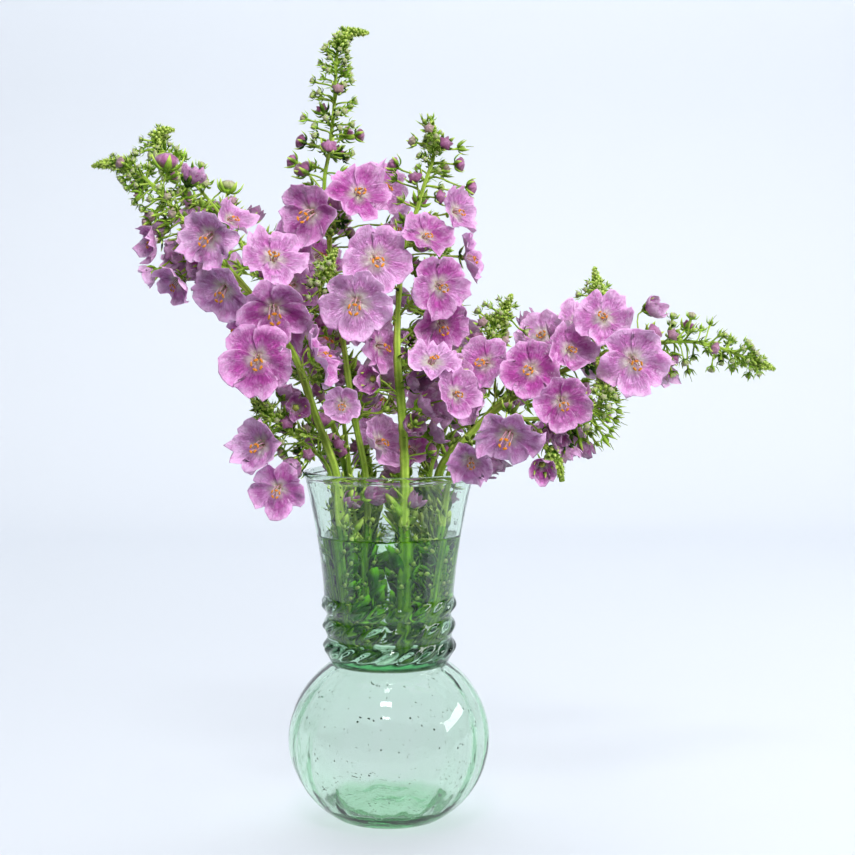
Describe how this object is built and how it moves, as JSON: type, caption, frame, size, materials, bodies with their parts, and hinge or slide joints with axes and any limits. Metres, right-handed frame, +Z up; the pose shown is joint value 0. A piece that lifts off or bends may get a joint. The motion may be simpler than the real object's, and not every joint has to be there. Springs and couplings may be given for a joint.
{
  "type": "mullein stem in vase",
  "caption": "Bunch of cut purple mullein stems with open mauve flowers and green bud tips, standing in water in a ball-footed green glass vase with a flared, ringed neck",
  "frame": {"origin": "centre of the vase's flat foot, on the surface it stands on", "axes": "+Z up along the vase's axis, the front of the bouquet faces -Y, +X is to the viewer's right"},
  "size_m": [0.293, 0.1192, 0.3369],
  "materials": {
    "glass": "clear pale green blown glass",
    "water": "clear still water",
    "greenery": "matt green stems, stalks and buds",
    "petals": "soft matt mauve petals"
  },
  "bodies": {
    "root": {"bloom_01": "petals", "bloom_02": "petals", "bloom_03": "petals", "bloom_04": "petals", "bloom_05": "petals", "bloom_06": "petals", "bloom_07": "petals", "bloom_08": "petals", "bloom_09": "petals", "bloom_10": "petals", "bloom_11": "petals", "bloom_12": "petals", "bloom_13": "petals", "bloom_14": "petals", "bloom_15": "petals", "bloom_16": "petals", "bloom_17": "petals", "bloom_18": "petals", "bloom_19": "petals", "bloom_20": "petals", "bloom_21": "petals", "bloom_22": "petals", "bloom_23": "petals", "bloom_24": "petals", "bloom_25": "petals", "bloom_26": "petals", "bloom_27": "petals", "bloom_28": "petals", "bloom_29": "petals", "bloom_30": "petals", "bloom_31": "petals", "bloom_32": "petals", "bloom_33": "petals", "bloom_34": "petals", "bloom_35": "petals", "bloom_36": "petals", "bloom_37": "petals", "bloom_38": "petals", "bloom_39": "petals", "bloom_40": "petals", "bloom_41": "petals", "bloom_42": "petals", "bloom_43": "petals", "bloom_44": "petals", "bloom_45": "petals", "bloom_46": "petals", "spray_back_left": "greenery", "spray_back_right": "greenery", "spray_centre_thick": "greenery", "spray_left_back": "greenery", "spray_left_front": "greenery", "spray_left_low": "greenery", "spray_mid_short": "greenery", "spray_right_long": "greenery", "spray_right_low": "greenery", "spray_right_small": "greenery", "spray_right_upright": "greenery", "spray_tall_thin": "greenery", "vase": "glass", "water": "water"}
  },
  "joints": []
}
